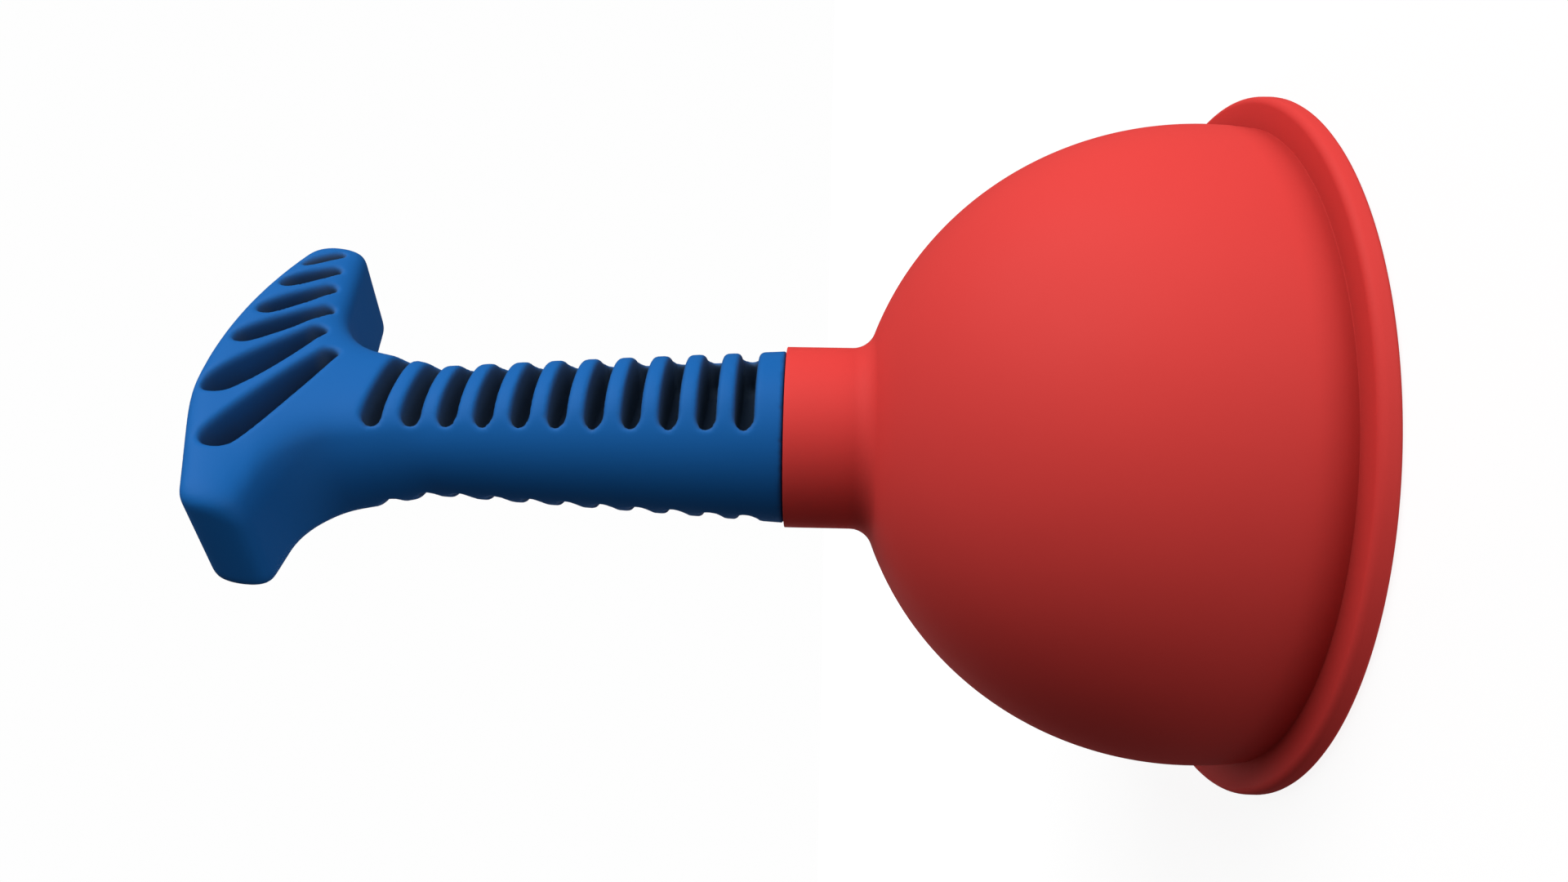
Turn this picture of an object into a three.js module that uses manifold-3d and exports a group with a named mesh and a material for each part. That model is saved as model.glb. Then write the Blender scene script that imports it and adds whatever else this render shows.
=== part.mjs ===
// A small one-hand force cup: a rubber bell on a moulded plastic handle with a palm head,
// clamped by a screw and washer.
// Millimetres, +Z up. The origin is the centre of the bell's open face, which rests on the floor.
// -Y is the handle's front. The palm head runs along X.
import * as THREE from "three";
import { mergeVertices } from "three/addons/utils/BufferGeometryUtils.js";
import Module from "manifold-3d";

const wasm = await Module();
wasm.setup();

// ---------------------------------------------------------------- driving dimensions

const GAP = 0.3; // clearance kept between touching pieces

// Rubber bell: a hollow ball cut open at the bottom, with a flat lip and a round neck.
const LIP_RADIUS = 62.5;
const LIP_THICKNESS = 3.2;
const LIP_BACK_EDGE = 1.7; // rounding of the lip's upper outer edge
const LIP_FRONT_EDGE = 0.8; // rounding of the lip's lower edges
const BALL_RADIUS = 58;
const BALL_CENTRE_Z = 11.7;
const WALL = 4;
const NECK_RADIUS = 17.2;
const NECK_TOP = 82.6;
const NECK_FILLET = 4.4;
const NECK_EDGE = 0.4;
const SOCKET_RADIUS = 9.8; // blind socket in the neck, for the handle's spigot
const SOCKET_FLOOR = 64;
const PAD_RADIUS = 18; // flat boss inside the crown, for the washer
const PAD_FACE = 59.5;
const PAD_EDGE = 1.5;
const SCREW_HOLE = 2.6;
const BELL_SIDES = 48;

// Handle: spigot, round collar and a tapering grip that widens and flattens into the palm head.
const COLLAR_RADIUS = 16.35;
const WAIST_RADIUS = 12.8;
const WAIST_Z = 148;
const THROAT_RADIUS = 15.2;
const THROAT_Z = 163;
const GRIP_TOP = 176; // inside the head
const ARM_FILLET = 9; // widening of the grip's sides under each arm
const SPIGOT_RADIUS = SOCKET_RADIUS - GAP;
const SPIGOT_CHAMFER = 1;
const PILOT_RADIUS = 2.5;
const PILOT_DEPTH = 22;
const GRIP_SIDES = 28;
const GRIP_RINGS = 10;

// Palm head: a crest on one wide arc, two arms that rise from the grip, and flat faces front and back.
const CREST_X = 17.5;
const CREST_Z = 193.2;
const CREST_RADIUS = 113.7;
const LONG_ARM = 49.7; // towards +X
const SHORT_ARM = 36.2; // towards -X
const UNDERSIDE_Z = 168.6;
const LONG_ARM_RISE = 0.2;
const SHORT_ARM_RISE = 0.06;
const FRONT_FACE = 11.9;
const BACK_FACE = 12.3;
const FACE_LEAN = 0.155; // both faces lean forward above the throat
const FACE_LEAN_Z = 159.4;
const FACE_FADE = 0.1; // below the head the flat faces run out into the round grip
const FACE_FADE_Z = 150;
const SECTION_SQUARENESS = 4;
const ARM_BLUNTNESS = 5;
const HEAD_RINGS = 28;
const HEAD_SIDES = 24;

// Grip pockets: a ladder of slots into both broad faces, with a web left between them.
const SLOT_COUNT = 11;
const SLOT_WIDTH = 3.4;
const SLOT_PITCH = 6.81;
const FIRST_SLOT_Z = 89.6;
const SLOT_SPREAD = 50.5; // half the angle that a slot spans round the grip, in degrees
const SLOT_TURN = 5.5; // the slots' direction against the head's front, in degrees
const WEB_HALF = 3;

// Fan of tapered pockets in each face of the head, from the long arm's tip to the short arm:
// the middles of each pocket's outer and inner ends in X and Z.
const FAN_POCKETS = [
  { outer: [38.8, 186.8], inner: [43.6, 182.4], outerRadius: 0.9 },
  { outer: [30.8, 187.3], inner: [37, 181.3], outerRadius: 1.8 },
  { outer: [20.5, 187.5], inner: [29.8, 179.6], outerRadius: 2.1 },
  { outer: [10.3, 187.5], inner: [22.2, 177.4], outerRadius: 2.6 },
  { outer: [-4.3, 185.8], inner: [14, 175.7], outerRadius: 3.6 },
  { outer: [-18.6, 179.8], inner: [6.4, 170.6], outerRadius: 3.7 },
];
const FAN_INNER_RADIUS = 1.6;
const FAN_WEB_HALF = 2.6;
const CUTTER_DEPTH = 40; // well past either face

// Clamp under the crown.
const WASHER_RADIUS = 15;
const WASHER_THICKNESS = 1.6;
const WASHER_EDGE = 0.3;
const SHANK_RADIUS = 2.2;
const SHANK_LENGTH = 22;
const SCREW_HEAD_RADIUS = 4.7;
const SCREW_HEAD_HEIGHT = 3.1;
const SCREW_RIM = 1.4; // height of the head's straight rim
const RECESS_WIDTH = 1.1;
const RECESS_DEPTH = 1.7;

// ---------------------------------------------------------------- shape helpers

// A turned body from a closed outline of radius and height, as a ring around Z.
function turned(outline, sides) {
  const points = [...outline, outline[0].clone()];
  return new THREE.LatheGeometry(points, sides).rotateX(Math.PI / 2);
}

// Points on an arc in the radius-height plane, angles in degrees from the +radius direction.
function arc(centreR, centreZ, radius, from, to, steps) {
  return Array.from({ length: steps + 1 }, (_, i) => {
    const angle = THREE.MathUtils.degToRad(from + ((to - from) * i) / steps);
    return new THREE.Vector2(
      centreR + radius * Math.cos(angle),
      centreZ + radius * Math.sin(angle),
    );
  });
}

const at = (r, z) => new THREE.Vector2(r, z);

// Moves every vertex of a closed geometry to where the given function says.
function reshaped(geometry, move) {
  const position = geometry.attributes.position;
  const point = new THREE.Vector3();
  for (let i = 0; i < position.count; i += 1) {
    point.fromBufferAttribute(position, i);
    position.setXYZ(i, ...move(point));
  }
  return geometry;
}

// A circle's cosine or sine turned into a superellipse's, squarer as the power grows.
const squared = (value, power) => Math.sign(value) * Math.abs(value) ** (2 / power);

function mesh(name, geometry, colour, roughness, metalness) {
  const material = new THREE.MeshStandardMaterial({
    color: colour,
    roughness,
    metalness,
  });
  const made = new THREE.Mesh(geometry, material);
  made.name = name;
  return made;
}

function solid(geometry) {
  const bare = geometry.clone();
  bare.deleteAttribute("normal");
  bare.deleteAttribute("uv");
  const merged = mergeVertices(bare, 1e-4);
  return new wasm.Manifold(
    new wasm.Mesh({
      numProp: 3,
      vertProperties: merged.attributes.position.array,
      triVerts: new Uint32Array(merged.index.array),
    }),
  );
}

function geometryOf(manifold) {
  const { vertProperties, triVerts } = manifold.getMesh();
  const geometry = new THREE.BufferGeometry();
  geometry.setAttribute(
    "position",
    new THREE.BufferAttribute(new Float32Array(vertProperties), 3),
  );
  geometry.setIndex(new THREE.BufferAttribute(new Uint32Array(triVerts), 1));
  geometry.computeVertexNormals();
  return geometry;
}

// ---------------------------------------------------------------- rubber bell

function bellOutline() {
  const innerRadius = BALL_RADIUS - WALL;
  const up = (radius, height) =>
    THREE.MathUtils.radToDeg(Math.asin(height / radius));
  const across = (radius, r) =>
    THREE.MathUtils.radToDeg(Math.acos(r / radius));
  // concave fillet between ball and neck: its centre sits outside both
  const filletR = NECK_RADIUS + NECK_FILLET;
  const reach = BALL_RADIUS + NECK_FILLET;
  const filletZ = BALL_CENTRE_Z + Math.sqrt(reach ** 2 - filletR ** 2);
  const ballEnd = across(reach, filletR);
  const ballStart = up(BALL_RADIUS, LIP_THICKNESS - BALL_CENTRE_Z);
  const padBottom = across(innerRadius, PAD_RADIUS);
  const mouth = Math.sqrt(innerRadius ** 2 - BALL_CENTRE_Z ** 2);
  const innerStart = up(innerRadius, LIP_FRONT_EDGE - BALL_CENTRE_Z);
  return [
    ...arc(mouth + LIP_FRONT_EDGE, LIP_FRONT_EDGE, LIP_FRONT_EDGE, 180, 270, 2),
    ...arc(LIP_RADIUS - LIP_FRONT_EDGE, LIP_FRONT_EDGE, LIP_FRONT_EDGE, 270, 360, 2),
    ...arc(LIP_RADIUS - LIP_BACK_EDGE, LIP_THICKNESS - LIP_BACK_EDGE, LIP_BACK_EDGE, 0, 90, 4),
    ...arc(0, BALL_CENTRE_Z, BALL_RADIUS, ballStart, ballEnd, 14),
    ...arc(filletR, filletZ, NECK_FILLET, 180 + ballEnd, 180, 4).slice(1),
    ...arc(NECK_RADIUS - NECK_EDGE, NECK_TOP - NECK_EDGE, NECK_EDGE, 0, 90, 2),
    at(SOCKET_RADIUS, NECK_TOP),
    at(SOCKET_RADIUS, SOCKET_FLOOR),
    at(SCREW_HOLE, SOCKET_FLOOR),
    at(SCREW_HOLE, PAD_FACE),
    ...arc(PAD_RADIUS - PAD_EDGE, PAD_FACE + PAD_EDGE, PAD_EDGE, 270, 360, 2),
    ...arc(0, BALL_CENTRE_Z, innerRadius, padBottom, innerStart, 11),
  ];
}

const suctionCup = mesh(
  "suction_cup",
  turned(bellOutline(), BELL_SIDES),
  0xc8302c,
  0.6,
  0,
);

// ---------------------------------------------------------------- handle

const shoulderZ = NECK_TOP + GAP;
const spigotEnd = SOCKET_FLOOR + GAP;

// Grip radius at a height: straight taper to the waist, then a flare into the head.
function gripRadius(z) {
  if (z < WAIST_Z) {
    return THREE.MathUtils.mapLinear(z, shoulderZ, WAIST_Z, COLLAR_RADIUS, WAIST_RADIUS);
  }
  return WAIST_RADIUS + (THROAT_RADIUS - WAIST_RADIUS) * THREE.MathUtils.smoothstep(z, WAIST_Z, THROAT_Z);
}

// The head's faces, measured forward of the axis, and their shift with height.
const faceShift = (z) => FACE_LEAN * Math.max(z - FACE_LEAN_Z, 0);

function gripSolid() {
  const length = GRIP_TOP - shoulderZ;
  const cylinder = new THREE.CylinderGeometry(1, 1, length, GRIP_SIDES, GRIP_RINGS);
  cylinder.rotateX(Math.PI / 2).translate(0, 0, shoulderZ + length / 2);
  return solid(
    reshaped(cylinder, ({ x, y, z }) => {
      const radius = gripRadius(z);
      const rise = THREE.MathUtils.smoothstep(z, WAIST_Z, GRIP_TOP);
      const widening = ARM_FILLET * rise ** 2;
      const power = THREE.MathUtils.lerp(2, SECTION_SQUARENESS, rise);
      const flat = (FRONT_FACE + BACK_FACE) / 2 + FACE_FADE * Math.max(FACE_FADE_Z - z, 0);
      const half = Math.min(radius, flat);
      return [
        squared(x, power) * (radius + widening),
        squared(y, power) * half - faceShift(z),
        z,
      ];
    }),
  );
}

function spigotSolid() {
  const outline = [
    at(0, spigotEnd),
    at(SPIGOT_RADIUS - SPIGOT_CHAMFER, spigotEnd),
    at(SPIGOT_RADIUS, spigotEnd + SPIGOT_CHAMFER),
    at(SPIGOT_RADIUS, shoulderZ + SPIGOT_CHAMFER),
    at(0, shoulderZ + SPIGOT_CHAMFER),
  ];
  return solid(new THREE.LatheGeometry(outline, GRIP_SIDES).rotateX(Math.PI / 2));
}

const headTop = (x) => CREST_Z - CREST_RADIUS + Math.sqrt(CREST_RADIUS ** 2 - (x - CREST_X) ** 2);
const headUnder = (x) => UNDERSIDE_Z + (x > 0 ? LONG_ARM_RISE * x : -SHORT_ARM_RISE * x);

// A ball drawn out along both arms, with a squarish section that follows the crest and the underside.
function headSolid() {
  const ball = new THREE.SphereGeometry(1, HEAD_RINGS, HEAD_SIDES).rotateZ(Math.PI / 2);
  return solid(
    reshaped(ball, ({ x, y, z }) => {
      const across = x * (x > 0 ? LONG_ARM : SHORT_ARM);
      const around = Math.hypot(y, z) || 1;
      const close = Math.max(0, 1 - Math.abs(x) ** ARM_BLUNTNESS) ** (1 / SECTION_SQUARENESS);
      const back = close * squared(y / around, SECTION_SQUARENESS);
      const up = close * squared(z / around, SECTION_SQUARENESS);
      const height = THREE.MathUtils.mapLinear(up, -1, 1, headUnder(across), headTop(across));
      const depth = THREE.MathUtils.mapLinear(back, -1, 1, -FRONT_FACE, BACK_FACE);
      return [across, depth - faceShift(height), height];
    }),
  );
}

// A round-ended bar in the X-Z plane, from one centre to the other, cut from the front.
function pocketCutter(from, to, fromRadius, toRadius, floor) {
  const along = new THREE.Vector2().subVectors(to, from);
  const length = along.length();
  const lean = Math.acos((fromRadius - toRadius) / length);
  const outline = new THREE.Shape();
  outline.absarc(0, 0, fromRadius, lean, 2 * Math.PI - lean, false);
  outline.absarc(length, 0, toRadius, -lean, lean, false);
  const bar = new THREE.ExtrudeGeometry(outline, {
    depth: CUTTER_DEPTH,
    bevelEnabled: false,
    curveSegments: 2,
  });
  bar.rotateZ(along.angle()).rotateX(Math.PI / 2);
  bar.translate(from.x, -floor, from.y);
  return bar;
}

function slotCutters() {
  const turn = THREE.MathUtils.degToRad(SLOT_TURN);
  const cutters = [];
  for (let i = 0; i < SLOT_COUNT; i += 1) {
    const z = FIRST_SLOT_Z + i * SLOT_PITCH;
    const round = SLOT_WIDTH / 2;
    const reach = gripRadius(z) * Math.sin(THREE.MathUtils.degToRad(SLOT_SPREAD)) - round;
    for (const side of [0, Math.PI]) {
      const bar = pocketCutter(at(-reach, z), at(reach, z), round, round, WEB_HALF);
      cutters.push(solid(bar.rotateZ(turn + side)));
    }
  }
  return cutters;
}

function fanCutters() {
  return FAN_POCKETS.flatMap(({ outer, inner, outerRadius }) => {
    const innerRadius = Math.min(FAN_INNER_RADIUS, outerRadius);
    const bar = solid(pocketCutter(at(...outer), at(...inner), outerRadius, innerRadius, FAN_WEB_HALF));
    return [bar, bar.mirror([0, 1, 0])];
  });
}

function handleSolid() {
  const pilot = new THREE.CylinderGeometry(PILOT_RADIUS, PILOT_RADIUS, 2 * PILOT_DEPTH, 24);
  pilot.rotateX(Math.PI / 2).translate(0, 0, spigotEnd);
  let body = gripSolid().add(spigotSolid()).add(headSolid());
  for (const cutter of [...slotCutters(), ...fanCutters(), solid(pilot)]) {
    body = body.subtract(cutter);
  }
  return body;
}

const handle = mesh("handle", geometryOf(handleSolid()), 0x1e62ad, 0.45, 0);

// ---------------------------------------------------------------- clamp under the crown

const washerTop = PAD_FACE - GAP;
const washerBottom = washerTop - WASHER_THICKNESS;

function washerOutline() {
  return [
    at(SCREW_HOLE, washerBottom),
    at(WASHER_RADIUS - WASHER_EDGE, washerBottom),
    at(WASHER_RADIUS, washerBottom + WASHER_EDGE),
    at(WASHER_RADIUS, washerTop - WASHER_EDGE),
    at(WASHER_RADIUS - WASHER_EDGE, washerTop),
    at(SCREW_HOLE, washerTop),
  ];
}

const clampWasher = mesh(
  "clamp_washer",
  turned(washerOutline(), 40),
  0xb8bcc0,
  0.35,
  1,
);

const screwFace = washerBottom - GAP;

// Pan head with a cross recess, shank and pointed tip, turned in one piece.
function screwSolid() {
  const crownRadius = SCREW_HEAD_RADIUS * 1.5;
  const headEnd = screwFace - SCREW_HEAD_HEIGHT;
  const tip = screwFace + SHANK_LENGTH;
  const outline = [
    ...arc(0, headEnd + crownRadius, crownRadius, 270, 306, 4),
    at(SCREW_HEAD_RADIUS, screwFace - SCREW_RIM),
    at(SCREW_HEAD_RADIUS, screwFace),
    at(SHANK_RADIUS, screwFace),
    at(SHANK_RADIUS, tip - SHANK_RADIUS * 2),
    at(0, tip),
  ];
  const body = solid(new THREE.LatheGeometry(outline, 32).rotateX(Math.PI / 2));
  const slot = new THREE.BoxGeometry(SCREW_HEAD_RADIUS, RECESS_WIDTH, 2 * RECESS_DEPTH);
  slot.translate(0, 0, headEnd);
  const across = slot.clone().rotateZ(Math.PI / 2);
  return body.subtract(solid(slot)).subtract(solid(across));
}

const fixingScrew = mesh(
  "fixing_screw",
  geometryOf(screwSolid()),
  0xc2c5c8,
  0.3,
  1,
);

// ---------------------------------------------------------------- assembly

const plunger = new THREE.Group();
plunger.add(suctionCup, handle, clampWasher, fixingScrew);

export default plunger;
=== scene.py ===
import math

import bpy
import numpy as np
from mathutils import Matrix, Vector


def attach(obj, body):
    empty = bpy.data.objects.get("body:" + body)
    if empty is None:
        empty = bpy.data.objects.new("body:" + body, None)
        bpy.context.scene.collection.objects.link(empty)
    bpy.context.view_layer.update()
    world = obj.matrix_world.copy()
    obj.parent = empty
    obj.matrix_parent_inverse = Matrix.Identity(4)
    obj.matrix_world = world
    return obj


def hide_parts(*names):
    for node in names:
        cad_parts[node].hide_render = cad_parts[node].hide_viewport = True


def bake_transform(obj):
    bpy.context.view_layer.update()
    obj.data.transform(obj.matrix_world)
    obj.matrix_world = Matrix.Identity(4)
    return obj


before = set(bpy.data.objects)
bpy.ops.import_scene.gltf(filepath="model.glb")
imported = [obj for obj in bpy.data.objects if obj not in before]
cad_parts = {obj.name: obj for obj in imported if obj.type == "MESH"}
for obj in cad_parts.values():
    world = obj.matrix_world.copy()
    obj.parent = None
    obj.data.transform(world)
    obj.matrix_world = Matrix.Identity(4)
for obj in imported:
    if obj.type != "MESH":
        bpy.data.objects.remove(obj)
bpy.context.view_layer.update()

MM = 0.001

# ---------------------------------------------------------------- camera

LENS_MM = 24.44  # on Blender's 36 mm wide sensor
CAMERA_BEARING = 52.17  # degrees round the object from its front, -Y, towards -X
CAMERA_DISTANCE = 0.2035  # from the handle's axis
CAMERA_HEIGHT = 0.0752
AIM_BEARING = 51.96
AIM_LIFT = 2.2
CAMERA_ROLL = -88.9  # the object stands upright, and the picture shows it lying along the frame


def add_camera():
    bearing = math.radians(CAMERA_BEARING)
    place = Vector((-math.sin(bearing), -math.cos(bearing), 0)) * CAMERA_DISTANCE
    place.z = CAMERA_HEIGHT
    aim = math.radians(AIM_BEARING)
    lift = math.radians(AIM_LIFT)
    forward = Vector((math.sin(aim) * math.cos(lift), math.cos(aim) * math.cos(lift), math.sin(lift)))
    level = forward.cross(Vector((0, 0, 1))).normalized()
    right = Matrix.Rotation(-math.radians(CAMERA_ROLL), 3, forward) @ level
    up = right.cross(forward)
    data = bpy.data.cameras.new("camera")
    data.lens = LENS_MM
    data.clip_start = 0.01
    camera = bpy.data.objects.new("camera", data)
    bpy.context.scene.collection.objects.link(camera)
    camera.matrix_world = Matrix.Translation(place) @ Matrix((right, up, -forward)).transposed().to_4x4()
    bpy.context.scene.camera = camera
    return up


# ---------------------------------------------------------------- mesh helpers


def new_object(name, points, faces):
    mesh = bpy.data.meshes.new(name)
    mesh.from_pydata([tuple(p * MM) for p in np.asarray(points, float)], [], faces)
    mesh.update()
    made = bpy.data.objects.new(name, mesh)
    bpy.context.scene.collection.objects.link(made)
    return made


def turned_ring(name, outline, sides):
    """A closed outline of radius and height, turned round Z."""
    turn = np.linspace(0, 2 * np.pi, sides, endpoint=False)
    outline = np.asarray(outline, float)
    points = [(r * math.cos(a), r * math.sin(a), z) for r, z in outline for a in turn]
    count = len(outline)
    faces = []
    for i in range(count):
        n = (i + 1) % count
        for j in range(sides):
            k = (j + 1) % sides
            faces.append((i * sides + j, i * sides + k, n * sides + k, n * sides + j))
    return new_object(name, np.array(points), faces)


def arc(centre_r, centre_z, radius, start, end, steps):
    angles = np.radians(np.linspace(start, end, steps + 1))
    return [(centre_r + radius * math.cos(a), centre_z + radius * math.sin(a)) for a in angles]


def line(start, end, steps):
    """Points strictly between two corners of an outline."""
    shares = np.linspace(0, 1, steps + 1)[1:-1]
    return [(start[0] + (end[0] - start[0]) * s, start[1] + (end[1] - start[1]) * s) for s in shares]


def shade_smooth(obj):
    obj.data.polygons.foreach_set("use_smooth", [True] * len(obj.data.polygons))
    obj.data.update()


# ---------------------------------------------------------------- rubber cup

LIP_RADIUS = 62.5
LIP_THICKNESS = 3.2
LIP_BACK_EDGE = 1.2
LIP_FRONT_EDGE = 0.8
BALL_RADIUS = 58
BALL_CENTRE = 11.7
WALL = 4
LIP_FILLET = 0.05
NECK_RADIUS = 17.2
NECK_TOP = 82.6
NECK_FILLET = 4.4
NECK_EDGE = 0.15
SOCKET_RADIUS = 9.8
SOCKET_FLOOR = 64
PAD_RADIUS = 18
PAD_FACE = 59.5
PAD_EDGE = 1.5
SCREW_HOLE = 2.6
CUP_SIDES = 256


def cup_outline():
    inner = BALL_RADIUS - WALL
    # concave fillet between ball and neck, and a small one between ball and lip
    fillet_r = NECK_RADIUS + NECK_FILLET
    reach = BALL_RADIUS + NECK_FILLET
    fillet_z = BALL_CENTRE + math.sqrt(reach**2 - fillet_r**2)
    ball_end = math.degrees(math.acos(fillet_r / reach))
    root_z = LIP_THICKNESS + LIP_FILLET
    root_reach = BALL_RADIUS + LIP_FILLET
    root_r = math.sqrt(root_reach**2 - (root_z - BALL_CENTRE) ** 2)
    ball_start = math.degrees(math.asin((root_z - BALL_CENTRE) / root_reach))
    mouth = math.sqrt(inner**2 - BALL_CENTRE**2)
    pad_start = math.degrees(math.acos(PAD_RADIUS / inner))
    inner_end = math.degrees(math.asin((LIP_FRONT_EDGE - BALL_CENTRE) / inner))
    outline = arc(mouth + LIP_FRONT_EDGE, LIP_FRONT_EDGE, LIP_FRONT_EDGE, 180, 270, 5)
    outline += arc(LIP_RADIUS - LIP_FRONT_EDGE, LIP_FRONT_EDGE, LIP_FRONT_EDGE, 270, 360, 5)
    outline += arc(LIP_RADIUS - LIP_BACK_EDGE, LIP_THICKNESS - LIP_BACK_EDGE, LIP_BACK_EDGE, 0, 90, 10)
    outline += arc(root_r, root_z, LIP_FILLET, 270, 180 + ball_start, 6)
    outline += arc(0, BALL_CENTRE, BALL_RADIUS, ball_start, ball_end, 70)[1:]
    outline += arc(fillet_r, fillet_z, NECK_FILLET, 180 + ball_end, 180, 12)[1:]
    outline += line(outline[-1], (NECK_RADIUS, NECK_TOP - NECK_EDGE), 12)
    outline += arc(NECK_RADIUS - NECK_EDGE, NECK_TOP - NECK_EDGE, NECK_EDGE, 0, 90, 4)
    outline += [(SOCKET_RADIUS, NECK_TOP)]
    outline += line((SOCKET_RADIUS, NECK_TOP), (SOCKET_RADIUS, SOCKET_FLOOR), 12)
    outline += [(SOCKET_RADIUS, SOCKET_FLOOR), (SCREW_HOLE, SOCKET_FLOOR), (SCREW_HOLE, PAD_FACE)]
    outline += arc(PAD_RADIUS - PAD_EDGE, PAD_FACE + PAD_EDGE, PAD_EDGE, 270, 360, 5)
    outline += arc(0, BALL_CENTRE, inner, pad_start, inner_end, 60)
    return outline


def add_cup():
    cup = turned_ring("rubber_cup", cup_outline(), CUP_SIDES)
    shade_smooth(cup)
    cup.data.materials.append(rubber_material())
    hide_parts("suction_cup")
    return cup


# ---------------------------------------------------------------- rounded solids from a distance field


def smooth_max(a, b, width):
    """The larger of two distances, rounded over where they are nearly alike."""
    share = np.clip(0.5 + 0.5 * (a - b) / width, 0, 1)
    return b + (a - b) * share + width * share * (1 - share)


def smooth_min(a, b, width):
    return -smooth_max(-a, -b, width)


def smooth_ramp(value, low, high):
    share = np.clip((value - low) / (high - low), 0, 1)
    return share * share * (3 - 2 * share)


def settle(points, field, reach):
    """Moves points onto the surface where the field is zero, each by no more than a short reach."""
    nudge = 0.02
    value = field(*points.T)
    slopes = [(field(*(points + axis).T) - value) / nudge for axis in np.eye(3) * nudge]
    slope = np.column_stack(slopes)
    move = -slope * (value / np.maximum((slope**2).sum(1), 0.5))[:, None]
    return points + np.clip(move, -reach, reach)


def field_body(name, field, low, high, step):
    """A closed mesh of the surface where a field of x, y, z in millimetres is zero.

    The space is cut into cubes, and each cube that the surface crosses holds one point of the mesh.
    """
    axes = [np.arange(a, b + step, step) for a, b in zip(low, high)]
    values = field(*np.meshgrid(*axes, indexing="ij", sparse=True))
    inside = values < 0
    size = np.array(inside.shape) - 1
    corners = np.array([(a, b, c) for a in (0, 1) for b in (0, 1) for c in (0, 1)])
    count = np.zeros(size, np.int8)
    for a, b, c in corners:
        count += inside[a : a + size[0], b : b + size[1], c : c + size[2]]
    crossed = (count > 0) & (count < 8)
    cells = np.argwhere(crossed)
    number = np.full(crossed.shape, -1, np.int64)
    number[crossed] = np.arange(len(cells))
    # each cell's point starts at the middle of where the surface crosses the cell's edges
    at_corner = np.column_stack([values[tuple((cells + corner).T)] for corner in corners])
    total = np.zeros((len(cells), 3))
    crossings = np.zeros(len(cells))
    for i in range(8):
        for j in range(i + 1, 8):
            if np.abs(corners[i] - corners[j]).sum() != 1:
                continue
            rows = np.nonzero((at_corner[:, i] < 0) != (at_corner[:, j] < 0))[0]
            share = at_corner[rows, i] / (at_corner[rows, i] - at_corner[rows, j])
            total[rows] += corners[i] + share[:, None] * (corners[j] - corners[i])
            crossings[rows] += 1
    points = np.array(low) + (cells + total / crossings[:, None]) * step
    points = settle(points, field, step / 5)
    faces = []
    for axis in range(3):
        first, second = [other for other in range(3) if other != axis]
        before = np.take(inside, range(inside.shape[axis] - 1), axis)
        after = np.take(inside, range(1, inside.shape[axis]), axis)
        edges = np.argwhere(before != after)
        corner_numbers = []
        for a, b in ((1, 1), (0, 1), (0, 0), (1, 0)):
            near = edges.copy()
            near[:, first] -= a
            near[:, second] -= b
            corner_numbers.append(number[tuple(near.T)])
        quads = np.column_stack(corner_numbers)
        outward = before[tuple(edges.T)]
        if axis == 1:
            outward = ~outward
        quads[~outward] = quads[~outward][:, ::-1]
        faces.append(quads)
    return new_object(name, points, np.vstack(faces).tolist())


# ---------------------------------------------------------------- handle

SHOULDER = 82.75
SHOULDER_EDGE = 0.1
SPIGOT_END = 64.3
SPIGOT_RADIUS = 9.5
SPIGOT_ROOT = 4  # how far the spigot runs on inside the grip
PILOT_RADIUS = 2.5
PILOT_TOP = 86
COLLAR_RADIUS = 16.35
WAIST_RADIUS = 12.8
WAIST_Z = 148
THROAT_RADIUS = 15.2
THROAT_Z = 163
GRIP_TOP = 172  # inside the head

# Palm head: a crest on one wide arc that ends in a straight fall over the short arm, two arms that
# rise from the grip, and flat faces front and back. An edge is how far its rounding reaches.
CREST_X = 16.5
CREST_Z = 193.2
CREST_RADIUS = 113.7
LONG_ARM = 50.2
SHORT_ARM = 36
UNDERSIDE_Z = 169.4
LONG_ARM_RISE = 0.18
SHORT_ARM_RISE = 0.03
LONG_END_EDGE = 6
SHORT_END_EDGE = 3.5
SHORT_FALL_X = -32
SHORT_FALL_Z = 181.2
SHORT_FALL = 0.4
CREST_BREAK_EDGE = 1
UNDERSIDE_BREAK_EDGE = 1
HEAD_EDGE = 9.6
CREST_FACE_EDGE = 5
UNDER_FACE_EDGE = 8.5  # the front's edge round the short arm and the throat, below the crest
UNDER_FROM_DEPTH = 4
UNDER_FULL_DEPTH = 12
LONG_ARM_FROM_X = -5
LONG_ARM_FULL_X = 20
UNDER_FULL_FRONT = 4
ARM_FILLET = 12.6
GRIP_FACE_EDGE = 4
FRONT_FACE = 11.9
BACK_FACE = 12.3
FACE_LEAN = 0.155  # both faces lean forward above the throat
FACE_LEAN_Z = 159.4
FACE_FADE_Z = 150  # below this the faces draw away from the round grip
FACE_FADE = 0.1

SLOT_COUNT = 11
SLOT_WIDTH = 3.4
SLOT_PITCH = 6.81
FIRST_SLOT_Z = 89.6
SLOT_SPREAD = 50.5
SLOT_TURN = 5.5
WEB_HALF = 3
SLOT_RIM = 1.2
POCKET_FLOOR_EDGE = 1

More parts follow.
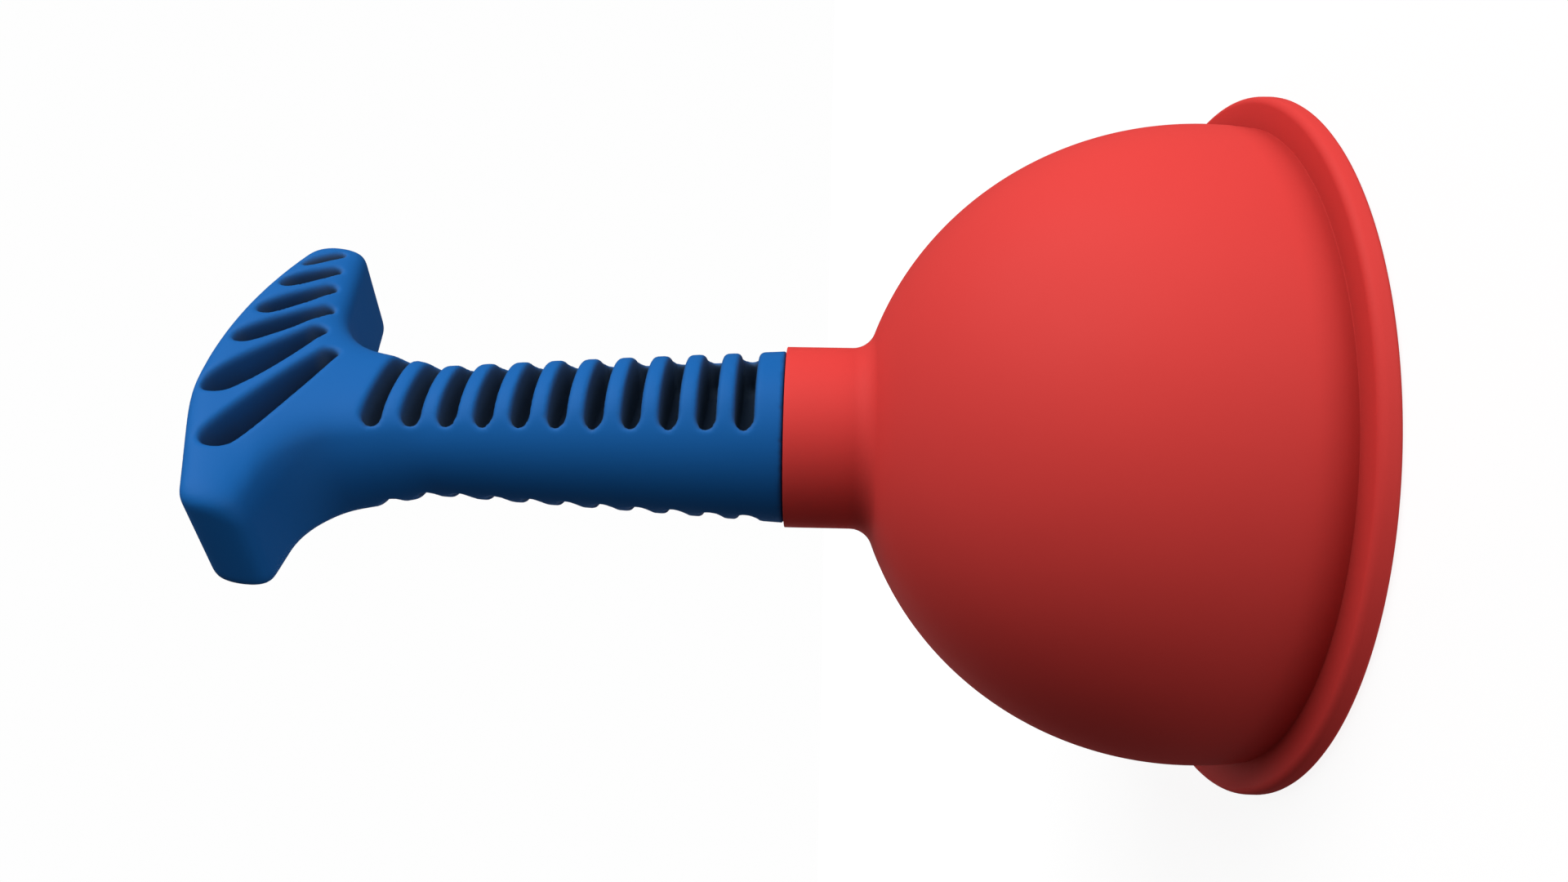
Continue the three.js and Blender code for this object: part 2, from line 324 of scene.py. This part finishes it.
# Fan pockets, from the long arm's tip to the short arm: each one's outer end in X and Z, its inner
# end in X and Z, and the radius of its outer end
FAN_POCKETS = (
    (39.2, 187.2, 44.0, 182.3, 0.9),
    (31.0, 187.7, 37.1, 181.0, 1.8),
    (20.4, 187.8, 30.0, 179.4, 1.95),
    (10.0, 187.9, 22.4, 177.3, 2.1),
    (-4.8, 186.0, 14.0, 175.9, 3.15),
    (-19.4, 179.8, 6.5, 170.8, 3.0),
)
FAN_TAPER = 0.42  # an inner end's radius grows by this share of the outer end's
FAN_INNER_RADIUS = 0.4
FAN_BULGE = 0.03  # a bar's sides swell by this share of its length
FAN_WEB = 2.6
FAN_RIM = 1.4

HANDLE_STEP = 0.61
HANDLE_HALF_DEPTH = 24


def grip_radius(z):
    taper = COLLAR_RADIUS + (WAIST_RADIUS - COLLAR_RADIUS) * (z - SHOULDER) / (WAIST_Z - SHOULDER)
    flare = WAIST_RADIUS + (THROAT_RADIUS - WAIST_RADIUS) * smooth_ramp(z, WAIST_Z, THROAT_Z)
    return np.where(z < WAIST_Z, taper, flare)


def head_outline(x, z):
    """Distance from the palm head's outline, seen from the front."""
    crest = np.hypot(x - CREST_X, z - (CREST_Z - CREST_RADIUS)) - CREST_RADIUS
    fall = (z - SHORT_FALL_Z - SHORT_FALL * (x - SHORT_FALL_X)) / math.hypot(1, SHORT_FALL)
    crest = smooth_max(crest, fall, CREST_BREAK_EDGE)
    under_long = (UNDERSIDE_Z + LONG_ARM_RISE * x - z) / math.hypot(1, LONG_ARM_RISE)
    under_short = (UNDERSIDE_Z - SHORT_ARM_RISE * x - z) / math.hypot(1, SHORT_ARM_RISE)
    underside = smooth_max(under_long, under_short, UNDERSIDE_BREAK_EDGE)
    outline = smooth_max(crest, underside, HEAD_EDGE)
    outline = smooth_max(outline, x - LONG_ARM, LONG_END_EDGE)
    return smooth_max(outline, -SHORT_ARM - x, SHORT_END_EDGE)


def bar_distance(x, z, start, end, start_radius, end_radius):
    """Distance from a round-ended tapered bar, seen from the front."""
    along_x, along_z = end[0] - start[0], end[1] - start[1]
    share = ((x - start[0]) * along_x + (z - start[1]) * along_z) / (along_x**2 + along_z**2)
    share = np.clip(share, 0, 1)
    bulge = FAN_BULGE * 4 * math.hypot(along_x, along_z) * share * (1 - share)
    radius = start_radius + (end_radius - start_radius) * share + bulge
    return np.hypot(x - start[0] - along_x * share, z - start[1] - along_z * share) - radius


def slot_pockets(x, y, z):
    """The ladder of slots through both faces of the grip, down to the web."""
    turn = math.radians(SLOT_TURN)
    across = x * math.cos(turn) + y * math.sin(turn)
    depth = np.abs(y * math.cos(turn) - x * math.sin(turn))
    nearest = np.clip(np.round((z - FIRST_SLOT_Z) / SLOT_PITCH), 0, SLOT_COUNT - 1)
    middle = FIRST_SLOT_Z + nearest * SLOT_PITCH
    reach = grip_radius(middle) * math.sin(math.radians(SLOT_SPREAD)) - SLOT_WIDTH / 2
    beyond = np.maximum(np.abs(across) - reach, 0)
    return smooth_max(np.hypot(beyond, z - middle) - SLOT_WIDTH / 2, WEB_HALF - depth, POCKET_FLOOR_EDGE)


def fan_pockets(x, y, z):
    nearest = None
    for outer_x, outer_z, inner_x, inner_z, outer_radius in FAN_POCKETS:
        inner_radius = FAN_INNER_RADIUS + FAN_TAPER * outer_radius
        bar = bar_distance(x, z, (outer_x, outer_z), (inner_x, inner_z), outer_radius, inner_radius)
        nearest = bar if nearest is None else np.minimum(nearest, bar)
    return smooth_max(nearest, FAN_WEB - np.abs(y), POCKET_FLOOR_EDGE)


def handle_field(x, y, z):
    lean = FACE_LEAN * np.maximum(z - FACE_LEAN_Z, 0)
    fade = FACE_FADE * np.maximum(FACE_FADE_Z - z, 0)
    faces = np.maximum(-y - FRONT_FACE - lean - fade, y - BACK_FACE + lean - fade)
    outline = head_outline(x, z)
    below_crest = CREST_Z - CREST_RADIUS + np.sqrt(CREST_RADIUS**2 - (x - CREST_X) ** 2) - z
    softer = smooth_ramp(below_crest, UNDER_FROM_DEPTH, UNDER_FULL_DEPTH)
    softer = softer * (1 - smooth_ramp(x, LONG_ARM_FROM_X, LONG_ARM_FULL_X))
    softer = softer * smooth_ramp(-y, 0, UNDER_FULL_FRONT)
    face_edge = CREST_FACE_EDGE + (UNDER_FACE_EDGE - CREST_FACE_EDGE) * softer
    head = smooth_max(outline, faces, face_edge)
    round_distance = np.hypot(x, y)
    grip = np.maximum(round_distance - grip_radius(z), z - GRIP_TOP)
    solid = smooth_max(smooth_min(head, grip, ARM_FILLET), faces, GRIP_FACE_EDGE)
    solid = smooth_max(solid, SHOULDER - z, SHOULDER_EDGE)
    solid = smooth_max(solid, -slot_pockets(x, y, z), SLOT_RIM)
    solid = smooth_max(solid, -fan_pockets(x, y, z), FAN_RIM)
    spigot_ends = np.maximum(SPIGOT_END - z, z - SHOULDER - SPIGOT_ROOT)
    spigot = np.maximum(round_distance - SPIGOT_RADIUS, spigot_ends)
    pilot = np.maximum(round_distance - PILOT_RADIUS, z - PILOT_TOP)
    return np.maximum(np.minimum(solid, spigot), -pilot)


def add_handle():
    step = HANDLE_STEP * 1
    low = (-SHORT_ARM - 3, -HANDLE_HALF_DEPTH, SPIGOT_END - 3)
    high = (LONG_ARM + 3, HANDLE_HALF_DEPTH, CREST_Z + 4)
    handle = field_body("moulded_handle", handle_field, low, high, step)
    shade_smooth(handle)
    handle.data.materials.append(plastic_material())
    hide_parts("handle")
    return handle


# ---------------------------------------------------------------- washer and screw

WASHER_RADIUS = 15
WASHER_HOLE = 2.6
WASHER_TOP = 59.2
WASHER_BOTTOM = 57.6
WASHER_EDGE = 0.35
WASHER_SIDES = 128
SCREW_FACE = 57.3
SCREW_HEAD_RADIUS = 4.7
SCREW_HEAD_HEIGHT = 3.1
SCREW_CROWN_RADIUS = 7
SCREW_CROWN_EDGE = 0.6
SCREW_SHANK_RADIUS = 2.2
SCREW_LENGTH = 22
SCREW_POINT_SLOPE = 2
SHANK_ROOT = 1  # how far the shank runs on inside the head
RECESS_DEPTH = 1.7
RECESS_HALF_WIDTH = 0.55
RECESS_REACH = 2.4
RECESS_RIM = 0.25
SCREW_STEP = 0.16


def add_washer():
    edge = WASHER_EDGE
    outline = arc(WASHER_HOLE + edge, WASHER_BOTTOM + edge, edge, 180, 270, 4)
    outline += arc(WASHER_RADIUS - edge, WASHER_BOTTOM + edge, edge, 270, 360, 6)
    outline += arc(WASHER_RADIUS - edge, WASHER_TOP - edge, edge, 0, 90, 6)
    outline += arc(WASHER_HOLE + edge, WASHER_TOP - edge, edge, 90, 180, 4)
    return turned_ring("steel_washer", outline, WASHER_SIDES)


def screw_field(x, y, z):
    """Pan head with a cross recess, shank and pointed end, standing up from the head."""
    round_distance = np.hypot(x, y)
    head_end = SCREW_FACE - SCREW_HEAD_HEIGHT
    crown = np.hypot(round_distance, z - head_end - SCREW_CROWN_RADIUS) - SCREW_CROWN_RADIUS
    head = smooth_max(crown, round_distance - SCREW_HEAD_RADIUS, SCREW_CROWN_EDGE)
    head = np.maximum(head, z - SCREW_FACE)
    taper = z - SCREW_FACE - SCREW_LENGTH + round_distance * SCREW_POINT_SLOPE
    taper = taper / math.hypot(1, SCREW_POINT_SLOPE)
    shank = np.maximum(round_distance - SCREW_SHANK_RADIUS, SCREW_FACE - SHANK_ROOT - z)
    shank = np.maximum(shank, taper)
    arm_along_x = np.maximum(np.abs(x) - RECESS_REACH, np.abs(y) - RECESS_HALF_WIDTH)
    arm_along_y = np.maximum(np.abs(y) - RECESS_REACH, np.abs(x) - RECESS_HALF_WIDTH)
    recess = np.maximum(np.minimum(arm_along_x, arm_along_y), z - head_end - RECESS_DEPTH)
    return smooth_max(np.minimum(head, shank), -recess, RECESS_RIM)


def add_screw():
    reach = SCREW_HEAD_RADIUS + 1
    low = (-reach, -reach, SCREW_FACE - SCREW_HEAD_HEIGHT - 1)
    high = (reach, reach, SCREW_FACE + SCREW_LENGTH + 1)
    return field_body("pan_head_screw", screw_field, low, high, SCREW_STEP)


def add_fixing():
    steel = steel_material()
    for piece, node in ((add_washer(), "clamp_washer"), (add_screw(), "fixing_screw")):
        shade_smooth(piece)
        piece.data.materials.append(steel)
        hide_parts(node)
        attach(piece, "handle")


# ---------------------------------------------------------------- materials


class Nodes:
    """A short hand for building one material's node tree."""

    def __init__(self, name):
        self.material = bpy.data.materials.new(name)
        self.material.use_nodes = True
        self.tree = self.material.node_tree
        self.shader = self.tree.nodes["Principled BSDF"]
        self.place = self.add("ShaderNodeTexCoord").outputs["Object"]

    def add(self, kind, **settings):
        node = self.tree.nodes.new(kind)
        for key, value in settings.items():
            setattr(node, key, value)
        return node

    def link(self, source, target):
        self.tree.links.new(source, target)

    def noise(self, scale, detail=2.0, roughness=0.5):
        node = self.add("ShaderNodeTexNoise")
        node.inputs["Scale"].default_value = scale
        node.inputs["Detail"].default_value = detail
        node.inputs["Roughness"].default_value = roughness
        self.link(self.place, node.inputs["Vector"])
        return node.outputs["Fac"]

    def spread(self, value, low, high):
        """A 0 to 1 value turned into a low to high one."""
        node = self.add("ShaderNodeMapRange")
        node.inputs["To Min"].default_value = low
        node.inputs["To Max"].default_value = high
        self.link(value, node.inputs["Value"])
        return node.outputs["Result"]

    def mix(self, factor, first, second):
        node = self.add("ShaderNodeMix", data_type="RGBA")
        self.link(factor, node.inputs["Factor"])
        for value, key in ((first, "A"), (second, "B")):
            socket = [s for s in node.inputs if s.name == key and s.type == "RGBA"][0]
            if isinstance(value, tuple):
                socket.default_value = (*value, 1)
            else:
                self.link(value, socket)
        return [s for s in node.outputs if s.type == "RGBA"][0]

    def painted_hollow_shade(self, reach, floor):
        """From floor, deep in a recess, to 1 on open faces, from ambient occlusion: painted shade for
        creases and recesses.
        """
        node = self.add("ShaderNodeAmbientOcclusion", only_local=True, samples=8)
        node.inputs["Distance"].default_value = reach
        return self.spread(node.outputs["AO"], floor, 1.0)

    def bump(self, height, distance, strength=1.0, under=None):
        node = self.add("ShaderNodeBump")
        node.inputs["Strength"].default_value = strength
        node.inputs["Distance"].default_value = distance
        self.link(height, node.inputs["Height"])
        if under is not None:
            self.link(under, node.inputs["Normal"])
        return node.outputs["Normal"]


def rubber_material():
    n = Nodes("red_rubber")
    own_colour = n.mix(n.noise(22, 3), (0.70, 0.051, 0.046), (0.76, 0.057, 0.051))
    # painted shade: the base colour darkens towards dark red in creases and recesses, such as the groove
    # between ball and lip
    base = n.mix(n.painted_hollow_shade(0.006, 0.4), (0.09, 0.008, 0.008), own_colour)
    n.link(base, n.shader.inputs["Base Color"])
    n.link(n.spread(n.noise(60, 4), 0.5, 0.66), n.shader.inputs["Roughness"])
    fine = n.bump(n.noise(2600, 3), 0.00002, 0.5)
    n.link(n.bump(n.noise(90, 2), 0.0003, 0.15, fine), n.shader.inputs["Normal"])
    n.shader.inputs["Specular IOR Level"].default_value = 0.08
    return n.material


def plastic_material():
    n = Nodes("blue_plastic")
    own_colour = n.mix(n.noise(30, 3), (0.009, 0.116, 0.385), (0.012, 0.128, 0.42))
    # painted shade: the base colour turns dark grey-blue in wide recesses, and a dull grey-blue fills
    # narrow ones such as the slots and pockets
    base = n.mix(n.painted_hollow_shade(0.01, 0.0), (0.03, 0.04, 0.055), own_colour)
    base = n.mix(n.painted_hollow_shade(0.004, 0.0), (0.09, 0.14, 0.21), base)
    n.link(base, n.shader.inputs["Base Color"])
    n.link(n.spread(n.noise(80, 4), 0.42, 0.56), n.shader.inputs["Roughness"])
    fine = n.bump(n.noise(3200, 3), 0.000015, 0.5)
    n.link(n.bump(n.noise(120, 2), 0.0002, 0.12, fine), n.shader.inputs["Normal"])
    n.shader.inputs["Specular IOR Level"].default_value = 0.05
    return n.material


def steel_material():
    n = Nodes("zinc_steel")
    base = n.mix(n.noise(140, 4), (0.56, 0.57, 0.58), (0.7, 0.71, 0.72))
    n.link(base, n.shader.inputs["Base Color"])
    n.shader.inputs["Metallic"].default_value = 1.0
    n.link(n.spread(n.noise(400, 4), 0.24, 0.42), n.shader.inputs["Roughness"])
    return n.material


# ---------------------------------------------------------------- floor and light

FLOOR_HALF = 60  # metres, so that its far edge is one with the backdrop
FLOOR_DROP = 0.0002
BACKDROP = 0.99
AMBIENT = 0.095
OBJECT_MIDDLE = Vector((0, 0, 0.09))


def add_floor():
    corners = np.array([(-1, -1, 0), (1, -1, 0), (1, 1, 0), (-1, 1, 0)]) * FLOOR_HALF / MM
    floor = new_object("floor", corners, [(0, 1, 2, 3)])
    floor.location.z = -FLOOR_DROP
    floor.visible_diffuse = False
    floor.visible_glossy = False
    floor.visible_shadow = False
    n = Nodes("pale_floor")
    n.shader.inputs["Base Color"].default_value = (0.16, 0.16, 0.16, 1)
    n.shader.inputs["Roughness"].default_value = 1.0
    n.shader.inputs["Specular IOR Level"].default_value = 0.0
    n.shader.inputs["Emission Color"].default_value = (1, 1, 1, 1)
    length = n.add("ShaderNodeVectorMath", operation="LENGTH")
    n.link(n.place, length.inputs[0])
    glow = n.add("ShaderNodeMapRange")
    for key, value in (("From Min", 0.1), ("From Max", 0.7), ("To Min", 0.9), ("To Max", 1.0)):
        glow.inputs[key].default_value = value
    n.link(length.outputs["Value"], glow.inputs["Value"])
    n.link(glow.outputs["Result"], n.shader.inputs["Emission Strength"])
    floor.data.materials.append(n.material)


def add_world():
    world = bpy.data.worlds.new("studio")
    bpy.context.scene.world = world
    world.use_nodes = True
    tree = world.node_tree
    tree.nodes.clear()
    path = tree.nodes.new("ShaderNodeLightPath")
    mix = tree.nodes.new("ShaderNodeMixShader")
    output = tree.nodes.new("ShaderNodeOutputWorld")
    tree.links.new(path.outputs["Is Camera Ray"], mix.inputs["Fac"])
    for slot, strength in ((1, AMBIENT), (2, BACKDROP)):
        sky = tree.nodes.new("ShaderNodeBackground")
        sky.inputs["Color"].default_value = (1, 1, 1, 1)
        sky.inputs["Strength"].default_value = strength
        tree.links.new(sky.outputs["Background"], mix.inputs[slot])
    tree.links.new(mix.outputs["Shader"], output.inputs["Surface"])


def add_softbox(name, direction, distance, size, watts):
    data = bpy.data.lights.new(name, "AREA")
    data.shape = "DISK"
    data.size = size
    data.energy = watts
    light = bpy.data.objects.new(name, data)
    bpy.context.scene.collection.objects.link(light)
    way = Vector(direction).normalized()
    light.location = OBJECT_MIDDLE + way * distance
    light.rotation_euler = way.to_track_quat("Z", "Y").to_euler()
    light.visible_camera = False
    return light


def add_lights(picture_up):
    aim = math.radians(AIM_BEARING)
    toward_camera = Vector((-math.sin(aim), -math.cos(aim), 0))
    upward = Vector((0, 0, 1))
    over = picture_up + toward_camera * 0.5 + upward * 0.6
    beside = picture_up * 0.75 + toward_camera - upward * 0.7
    below = toward_camera * 0.5 - upward
    behind = -toward_camera - picture_up * 0.3 + upward * 0.15
    add_softbox("key", over, distance=1.0, size=1.1, watts=11.7)
    add_softbox("side_fill", beside, distance=1.0, size=0.9, watts=3.6)
    add_softbox("lip_fill", below, distance=1.0, size=0.9, watts=1.2)
    back = add_softbox("back_fill", behind, distance=1.2, size=1.0, watts=9)
    back.visible_glossy = False


# ---------------------------------------------------------------- assembly

picture_up = add_camera()
add_floor()
add_world()
add_lights(picture_up)

cup = add_cup()
handle = add_handle()
add_fixing()
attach(handle, "handle")
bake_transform(cup)

bpy.context.scene.view_settings.view_transform = "Standard"
